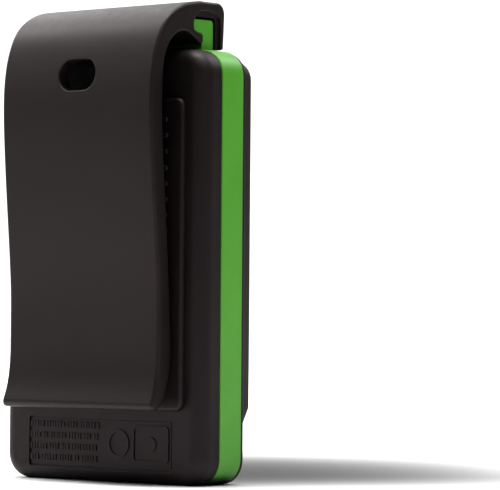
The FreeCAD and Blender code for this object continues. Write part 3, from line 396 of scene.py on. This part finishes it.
def build_clip():
    outer = catmull(OUT_ARM, 0.7)
    tip = catmull([OUT_ARM[-1]] + TIP + [IN_ARM[0]], 0.25)
    inner = catmull(IN_ARM, 0.7)
    hook = line_run([IN_ARM[-1]] + HOOK_SIDE, 0.5)
    lip = catmull([HOOK_SIDE[-1]] + LIP[:2], 0.3)
    lip2 = catmull(LIP[1:], 0.3)
    top = line_run([LIP[-1], OUT_ARM[0]], 0.6)
    runs = [(outer, 0.9), (tip, 0.8), (inner, 0.5), (hook, 0.2), (lip, 0.35), (lip2, 0.65), (top, 0.85)]
    prof, rad = [], []
    for pts, r in runs:
        for p in pts[:-1]:
            prof.append(p)
            rad.append(r)
    prof, rad = np.array(prof), np.array(rad)
    n = len(prof)
    for _ in range(6):
        rad = 0.25 * np.roll(rad, 1) + 0.5 * rad + 0.25 * np.roll(rad, -1)
    tang = np.roll(prof, -1, 0) - np.roll(prof, 1, 0)
    tang /= np.linalg.norm(tang, axis=1)[:, None]
    area = 0.5 * np.sum(prof[:, 0] * np.roll(prof[:, 1], -1) - np.roll(prof[:, 0], -1) * prof[:, 1])
    nrm = np.stack([-tang[:, 1], tang[:, 0]], 1) * (1 if area > 0 else -1)      # inward

    def half(z):
        t = np.clip((z - 92.0) / 18.0, 0, 1)
        u = np.clip((30.0 - z) / 10.0, 0, 1)
        return 26.0 + 0.08 * t * t * (3 - 2 * t) + 0.1 * u * u * (3 - 2 * u)

    hw = half(prof[:, 1])
    rings = []
    steps = [math.radians(a) for a in (90, 75, 60, 45, 30, 15, 0)]
    for th in steps:
        inset = rad * (1 - math.cos(math.pi / 2 - th)) if False else rad * (1 - math.cos(th))
        x = hw - rad * (1 - math.sin(th))
        q = prof + nrm * inset[:, None]
        rings.append([(-x[i], q[i, 0], q[i, 1]) for i in range(n)])
    cols = [-21, -17.5, -14, -11.5, -9.5] + list(np.arange(-8.4, 8.41, 0.56)) + [9.5, 11.5, 14, 17.5, 21]
    for c in cols:
        rings.append([(c * hw[i] / 26.0, prof[i, 0], prof[i, 1]) for i in range(n)])
    for th in steps[::-1]:
        inset = rad * (1 - math.cos(th))
        x = hw - rad * (1 - math.sin(th))
        q = prof + nrm * inset[:, None]
        rings.append([(x[i], q[i, 0], q[i, 1]) for i in range(n)])
    verts, faces = loft(rings)
    verts = [Vector(v) * MM for v in verts]
    o = mesh_object("belt_clip", verts, faces, MATS["clip_charcoal"])

    # the oblong hole with rounded lips on both sides
    oy = lambda z: float(np.interp(-z, -outer[:, 1], outer[:, 0]))
    iy = lambda z: float(np.interp(z, inner[:, 1], inner[:, 0]))
    hx, hz, zc, m = 6.3, 4.05, 103.8, 72

    def oblong(off):
        pts = []
        for k in range(m):
            a = 2 * math.pi * k / m
            ca, sa = math.cos(a), math.sin(a)
            cx = (hx - hz) * (1 if ca > 1e-9 else (-1 if ca < -1e-9 else 0))
            pts.append((cx + (hz + off) * ca, zc + (hz + off) * sa))
        return pts

    rl = 0.3
    levels = [("o", 0.9, 0.0), ("o", rl + 0.06, 0.0)]
    seq = [("o", 0.75, -1.2), ("o", 0.697, -0.164)]
    for a in (20, 32, 45, 60, 75, 90):
        t = math.radians(a)
        seq.append(("o", rl * (1 - math.sin(t)), rl * (1 - math.cos(t))))
    for a in (90, 60, 30, 0):
        t = math.radians(a)
        seq.append(("i", 0.2 * (1 - math.sin(t)), 0.2 * (1 - math.cos(t))))
    seq.append(("i", 0.24, -1.2))
    rr = []
    for side, off, depth in seq:
        ring = []
        for x, z in oblong(off):
            y = oy(z) - depth if side == "o" else iy(z) + depth
            ring.append(Vector((x, y, z)) * MM)
        rr.append(ring)
    cv, cf = loft(rr)
    c = mesh_object("clip_hole_tool", cv, cf, MATS["clip_charcoal"])
    mod = o.modifiers.new("hole", "BOOLEAN")
    mod.operation = "DIFFERENCE"
    mod.solver = "EXACT"
    mod.object = c
    apply_modifiers(o)
    bpy.data.objects.remove(c)
    finish_mesh(o, 30.0)
    # shallow step round the rail's slot in the near end face
    step = np.array(STEP)
    mid = np.array([-6.0, 114.6])
    rr = []
    for x, off in ((-26.9, 0.16), (-26.11, 0.16), (-26.03, 0.05), (-25.93, 0.0), (-25.3, 0.0)):
        ring = []
        for y, z in step:
            v = np.array([y, z]) - mid
            v = v / max(abs(v[0]), abs(v[1])) * off
            ring.append(Vector((x, y + v[0], z + v[1])) * MM)
        rr.append(ring)
    cv, cf = loft(rr)
    c = mesh_object("clip_step_tool", cv, cf, MATS["clip_charcoal"])
    mod = o.modifiers.new("step", "BOOLEAN")
    mod.operation = "DIFFERENCE"
    mod.solver = "EXACT"
    mod.object = c
    apply_modifiers(o)
    bpy.data.objects.remove(c)
    finish_mesh(o, 30.0)
    if not o.data.materials:
        o.data.materials.append(MATS["clip_charcoal"])
    return o


clip = build_clip()
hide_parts("clip_head", "clip_arm")
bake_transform(clip)


# ------------------------------------------------------------------ label field
def bar(bm, x0, x1, z0, z1, y, rise, r=0.00008):
    # a small raised bar with its top edges rounded off
    pts = [((x0, z0), (x1, z0), (x1, z1), (x0, z1)), ((x0, z0), (x1, z0), (x1, z1), (x0, z1)),
           ((x0 + r, z0 + r), (x1 - r, z0 + r), (x1 - r, z1 - r), (x0 + r, z1 - r))]
    ys = (y - 0.0001, y + rise - r, y + rise)
    vs = [[bm.verts.new((px, yy, pz)) for px, pz in ring] for ring, yy in zip(pts, ys)]
    for k in range(2):
        for i in range(4):
            j = (i + 1) % 4
            bm.faces.new((vs[k][i], vs[k][j], vs[k + 1][j], vs[k + 1][i]))
    bm.faces.new(vs[2])
    bm.faces.new(vs[0][::-1])


def ring_mark(bm, pts_out, pts_in, y, rise):
    n = len(pts_out)
    lay = []
    for ring, yy in ((pts_out, y - 0.0001), (pts_out, y + rise), (pts_in, y + rise), (pts_in, y - 0.0001)):
        lay.append([bm.verts.new((p[0], yy, p[1])) for p in ring])
    for k in range(4):
        for i in range(n):
            j = (i + 1) % n
            bm.faces.new((lay[k][i], lay[k][j], lay[(k + 1) % 4][j], lay[(k + 1) % 4][i]))


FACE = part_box("rear_shell")[1].y - 0.35 * MM    # floor of the sunk label field


def bmesh_object(name, bm, mat):
    me = bpy.data.meshes.new(name)
    bmesh.ops.recalc_face_normals(bm, faces=bm.faces)
    bm.to_mesh(me)
    bm.free()
    o = bpy.data.objects.new(name, me)
    scene.collection.objects.link(o)
    me.materials.append(MATS[mat])
    finish_mesh(o, 30)
    return o


def circ(cx, cz, r, n=48):
    return [((cx + r * math.cos(2 * math.pi * k / n)) * MM, (cz + r * math.sin(2 * math.pi * k / n)) * MM) for k in range(n)]


def soft_rect(cx, cz, hx, hz, r):
    return [((cx + (hx - r) * sx + r * math.cos(math.radians(a))) * MM, (cz + (hz - r) * sz + r * math.sin(math.radians(a))) * MM)
            for sx, sz, a0 in ((1, 1, 0), (-1, 1, 90), (-1, -1, 180), (1, -1, 270)) for a in range(a0, a0 + 91, 15)]


def raised(bm, pts, y0, y1, r=0.05, out=1):
    """A flat shape pushed from y0 to y1 (metres) with its outer edge rounded off; out is +1 or -1 along Y."""
    c = np.mean(np.array(pts), 0)
    def shrink(d):
        return [(p[0] - (p[0] - c[0]) / max(1e-9, math.hypot(p[0] - c[0], p[1] - c[1])) * d,
                 p[1] - (p[1] - c[1]) / max(1e-9, math.hypot(p[0] - c[0], p[1] - c[1])) * d) for p in pts]
    r = r * MM
    lay = []
    for d, y in ((0, y0), (0, y1 - out * r), (0.3 * r, y1 - out * 0.3 * r), (r, y1)):
        lay.append([bm.verts.new((x, y, z)) for x, z in shrink(d)])
    n = len(pts)
    for k in range(3):
        for i in range(n):
            j = (i + 1) % n
            bm.faces.new((lay[k][i], lay[k][j], lay[k + 1][j], lay[k + 1][i]))
    bm.faces.new(lay[-1])
    bm.faces.new(lay[0][::-1])


def build_label():
    # plain blocks where a maker would mould small print: no letters, no marks
    bm = bmesh.new()
    words = [[5, 7, 4, 6, 3, 5], [4, 2, 6, 5, 3, 7, 4], [6, 4, 3, 7, 2, 5, 4], [3, 6, 5, 2, 6, 4, 5]]
    pitch = [0.78, 0.60, 0.92, 0.66, 0.84, 0.58, 0.74]
    for row, ws in enumerate(words):
        z = 14.35 - row * 2.85
        x = 24.6
        k = row * 3
        for w in ws:
            for i in range(w):
                wide = pitch[k % 7]
                k += 1
                if x - wide < -0.2:
                    break
                high = 0.78 if (k * 5 + row) % 4 else 0.6
                bar(bm, (x - wide) * MM, x * MM, (z - high) * MM, (z + high) * MM, FACE, 0.00029, 0.00007)
                x -= wide + 0.24
            x -= 0.55
    ring_mark(bm, circ(-6.3, 10.0, 3.7), circ(-6.3, 10.0, 2.9), FACE, 0.00029)
    ring_mark(bm, soft_rect(-17.3, 10.0, 6.2, 4.7, 1.3), soft_rect(-17.3, 10.0, 5.5, 4.0, 0.8), FACE, 0.00029)
    raised(bm, circ(-17.3, 10.0, 1.9), FACE - 0.0001, FACE + 0.00029, 0.06)
    return bmesh_object("label_blocks", bm, "shell_charcoal")


label = build_label()
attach(label, "case")

# segments behind the window: a two-figure read-out, five pointing bars and a
# battery outline, as dark as liquid crystal is when it is switched on
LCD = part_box("display_module")[0].y


def build_segments():
    bm = bmesh.new()
    y0, y1 = LCD + 0.00004, LCD - 0.00004

    def flat(pts):
        top = [bm.verts.new((x * MM, y1, z * MM)) for x, z in pts]
        low = [bm.verts.new((x * MM, y0, z * MM)) for x, z in pts]
        bm.faces.new(top)
        bm.faces.new(low[::-1])
        for i in range(len(pts)):
            j = (i + 1) % len(pts)
            bm.faces.new((top[i], low[i], low[j], top[j]))

    def seg(cx, cz, length, t, upright):
        h, q = length / 2, t / 2
        pts = [(-h, 0), (-h + q, q), (h - q, q), (h, 0), (h - q, -q), (-h + q, -q)]
        flat([(cx + (z if upright else x), cz + (x if upright else z)) for x, z in pts])

    def figure(cx, cz, wd, ht, t, on):
        g = 0.25
        for k, (x, z, up_) in enumerate(((0, ht / 2, 0), (wd / 2, ht / 4, 1), (wd / 2, -ht / 4, 1), (0, -ht / 2, 0), (-wd / 2, -ht / 4, 1), (-wd / 2, ht / 4, 1), (0, 0, 0))):
            if k in on:
                seg(cx + x, cz + z, (ht / 2 if up_ else wd) - g * 2, t, up_)

    figure(-5.0, 74.5, 6.6, 13.0, 1.7, (0, 1, 6, 4, 3))
    figure(6.0, 74.5, 6.6, 13.0, 1.7, (5, 6, 1, 2))
    for k, a in enumerate((-56, -28, 0, 28, 56)):
        t = math.radians(90 + a)
        ca, sa = math.cos(t), math.sin(t)
        c = (17.0 * ca, 76.0 + 17.0 * sa)
        if k == 3:
            shape = [(-1.9, -1.6), (1.9, -1.6), (1.9, 0.4), (3.1, 0.4), (0, 3.6), (-3.1, 0.4), (-1.9, 0.4)]
        else:
            shape = [(-1.5, -1.3), (1.5, -1.3), (1.1, 1.5), (-1.1, 1.5)]
        flat([(c[0] + x * sa + z * ca, c[1] - x * ca + z * sa) for x, z in shape])
    flat([(12.6, 62.0), (18.4, 62.0), (18.4, 62.4), (12.6, 62.4)])
    flat([(12.6, 64.8), (18.4, 64.8), (18.4, 65.2), (12.6, 65.2)])
    flat([(12.6, 62.4), (13.0, 62.4), (13.0, 64.8), (12.6, 64.8)])
    flat([(18.0, 62.4), (18.4, 62.4), (18.4, 64.8), (18.0, 64.8)])
    flat([(18.4, 63.0), (19.0, 63.0), (19.0, 64.2), (18.4, 64.2)])
    for x in (13.5, 15.0, 16.5):
        flat([(x, 62.9), (x + 1.0, 62.9), (x + 1.0, 64.3), (x, 64.3)])
    for i, h in enumerate((0.9, 1.5, 2.1, 2.7)):
        flat([(-18.6 + i * 1.3, 62.0), (-17.7 + i * 1.3, 62.0), (-17.7 + i * 1.3, 62.0 + h), (-18.6 + i * 1.3, 62.0 + h)])
    return bmesh_object("display_segments", bm, "component")


segments = build_segments()
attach(segments, "case")


def icon(name, body, bm):
    o = bmesh_object(name, bm, "membrane")
    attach(o, body)
    return o


# plain raised signs on the keys: a ring, and arrows down and up
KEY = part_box("mark_button")[0].y
bm = bmesh.new()
out, inn = circ(0, 46.0, 2.5), circ(0, 46.0, 2.0)
lay = []
for pts, y in ((out, KEY + 0.0001), (out, KEY - 0.00008), (inn, KEY - 0.00008), (inn, KEY + 0.0001)):
    lay.append([bm.verts.new((x, y, z)) for x, z in pts])
for k in range(4):
    for i in range(len(out)):
        j = (i + 1) % len(out)
        bm.faces.new((lay[k][i], lay[k][j], lay[(k + 1) % 4][j], lay[(k + 1) % 4][i]))
icon("mark_sign", "mark_button", bm)
for body, sx, turn in (("left_button", -17.0, -1), ("right_button", 17.0, 1)):
    bm = bmesh.new()
    raised(bm, [((sx + x) * MM, (46.0 + z * turn) * MM) for x, z in ((-1.7, -1.0), (0.0, -1.0), (1.7, -1.0), (0.85, 0.15), (0.0, 1.3), (-0.85, 0.15))],
           KEY + 0.0001, KEY - 0.00008, 0.03, -1)
    icon(body.replace("button", "sign"), body, bm)
# three plain stops beside the mode slider: one, two and three dots
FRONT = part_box("front_shell")[0].y
bm = bmesh.new()
for k, cx in enumerate((-12.5, -7.0, -1.5)):
    for i in range(k + 1):
        raised(bm, circ(cx + (i - k / 2) * 1.1, 36.6, 0.36, 16), FRONT + 0.0001, FRONT - 0.00006, 0.02, -1)
stops = bmesh_object("stop_dots", bm, "membrane")
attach(stops, "case")

# ------------------------------------------------------------------ camera
yaw, pitch, roll = math.radians(40.0), math.radians(-1.33), math.radians(0.44)
w = Vector((math.sin(yaw) * math.cos(pitch), -math.cos(yaw) * math.cos(pitch), -math.sin(pitch)))
r0 = w.cross(Vector((0, 0, 1))).normalized()
u0 = r0.cross(w)
r = math.cos(roll) * r0 + math.sin(roll) * u0
u = -math.sin(roll) * r0 + math.cos(roll) * u0
target = Vector((0, -2.15, 55.0))
pos = target - w * 796.83 - r * (-33.56) - u * (-5.82)
cam_data = bpy.data.cameras.new("camera")
cam = bpy.data.objects.new("camera", cam_data)
scene.collection.objects.link(cam)
mw = Matrix((r, u, -w)).transposed().to_4x4()
mw.translation = pos * MM
cam.matrix_world = mw
cam_data.sensor_fit = "HORIZONTAL"
cam_data.sensor_width = 36.0
cam_data.lens = 3085.2 * 36.0 / 500.0
cam_data.clip_start = 0.01
cam_data.clip_end = 50.0
scene.camera = cam

# ------------------------------------------------------------------ stage
def build_stage():
    bm = bmesh.new()
    prof = [(-5.0, 0.0), (0.0, 0.0), (1.2, 0.0), (1.9, 0.0)]
    for k in range(1, 13):
        a = math.radians(90 * k / 12)
        prof.append((1.9 + 0.9 * math.sin(a), 0.9 - 0.9 * math.cos(a)))
    prof.append((2.8, 3.2))
    f = Vector((w.x, w.y, 0)).normalized()
    s = Vector((r0.x, r0.y, 0)).normalized()
    rows = []
    for t in np.linspace(-6.0, 6.0, 3):
        rows.append([bm.verts.new(f * d + s * float(t) + Vector((0, 0, z - 0.00002))) for d, z in prof])
    for a, b in zip(rows, rows[1:]):
        for i in range(len(prof) - 1):
            bm.faces.new((a[i], a[i + 1], b[i + 1], b[i]))
    me = bpy.data.meshes.new("floor")
    bm.to_mesh(me)
    bm.free()
    o = bpy.data.objects.new("floor", me)
    scene.collection.objects.link(o)
    for p in me.polygons:
        p.use_smooth = True
    m, nt, b = shader("floor_paper_painted_shadow")
    obj = node(nt, "TexCoord").outputs["Object"]
    f1 = noise(nt, obj, 900.0, 3.0, 0.5)
    paper = mixc(nt, f1, (0.90, 0.90, 0.90), (0.93, 0.93, 0.93))

    def along(v, *stops):
        # distance along a floor direction, turned into a soft step for the painted shadow
        dot = node(nt, "VectorMath", operation="DOT_PRODUCT")
        nt.links.new(obj, dot.inputs[0])
        dot.inputs[1].default_value = (v.x, v.y, 0.0)
        out = None
        for lo, hi, a0, a1 in stops:
            r = node(nt, "MapRange", interpolation_type="SMOOTHSTEP")
            for k, val in (("From Min", lo), ("From Max", hi), ("To Min", a0), ("To Max", a1)):
                r.inputs[k].default_value = val
            nt.links.new(dot.outputs["Value"], r.inputs["Value"])
            if out is None:
                out = r.outputs["Result"]
            else:
                mul = node(nt, "Math", operation="MULTIPLY")
                nt.links.new(out, mul.inputs[0])
                nt.links.new(r.outputs["Result"], mul.inputs[1])
                out = mul.outputs[0]
        return out

    # painted shadow: a soft dark streak multiplied into the paper colour, to the right of and behind the object,
    # standing in for its cast shadow
    painted_shadow_across = along(f, (-0.037, 0.040, 0.0, 1.0), (0.034, 0.205, 1.0, 0.0))
    length = along(s, (-0.012, 0.020, 0.0, 1.0), (0.009, 0.151, 1.0, 0.0))
    painted_shadow_mask = node(nt, "Math", operation="MULTIPLY")
    nt.links.new(painted_shadow_across, painted_shadow_mask.inputs[0])
    nt.links.new(length, painted_shadow_mask.inputs[1])
    # painted shadow depth: the paper colour is scaled by 0.017 raised to the mask
    painted_shade = node(nt, "Math", operation="POWER")
    painted_shade.inputs[0].default_value = 0.017
    nt.links.new(painted_shadow_mask.outputs[0], painted_shade.inputs[1])
    nt.links.new(mixc(nt, painted_shade.outputs[0], (0.0, 0.0, 0.0), paper), b.inputs["Base Color"])
    b.inputs["Roughness"].default_value = 0.85
    me.materials.append(m)
    return o


floor = build_stage()


def area(name, loc, aim, size, energy, color=(1, 1, 1), size_y=None):
    l = bpy.data.lights.new(name, "AREA")
    l.energy = energy
    l.color = color
    l.size = size
    if size_y:
        l.shape = "RECTANGLE"
        l.size_y = size_y
    o = bpy.data.objects.new(name, l)
    scene.collection.objects.link(o)
    o.location = loc
    o.rotation_euler = (Vector(aim) - Vector(loc)).to_track_quat("-Z", "Y").to_euler()
    return o


# directions in the view: S to the right, F away from the camera
F = Vector((w.x, w.y, 0)).normalized()
S = Vector((r0.x, r0.y, 0)).normalized()
c0 = Vector((0, 0, 0.06))
up = Vector((0, 0, 1))


def lamp(name, turn, rise, size, energy, size_y=None, dist=0.7):
    """turn 0 is from the camera's side, 90 from the right, 180 from behind."""
    t, e = math.radians(turn), math.radians(rise)
    v = (-F * math.cos(t) + S * math.sin(t)) * math.cos(e) + up * math.sin(e)
    return area(name, c0 + v * dist, c0, size, energy, size_y=size_y)


lamp("rim_left", -130, 35, 0.22, 1.80)
lamp("rim_back", -160, 35, 0.22, 0.46)
lamp("top_soft", 0, 89, 0.22, 2.9)
lamp("back_right", 125, 40, 0.25, 1.0)
lamp("key_left", -90, 20, 0.18, 0.36)
lamp("top_left", -90, 60, 0.25, 1.1)
lamp("fill_right", 40, 45, 0.40, 0.72)
lamp("crown_right", 75, 72, 0.25, 1.7)
lamp("bend_soft", 0, 80, 0.25, 0.7)
lamp("crest_soft", -110, 72, 0.25, 1.6)
area("back_wash", c0 + F * 0.9 + up * 1.2, c0 + F * 2.2, 1.6, 58.0)
world = bpy.data.worlds.new("studio")
scene.world = world
world.use_nodes = True
world.node_tree.nodes["Background"].inputs[0].default_value = (1, 1, 1, 1)
world.node_tree.nodes["Background"].inputs[1].default_value = 0.012
scene.view_settings.view_transform = "Standard"
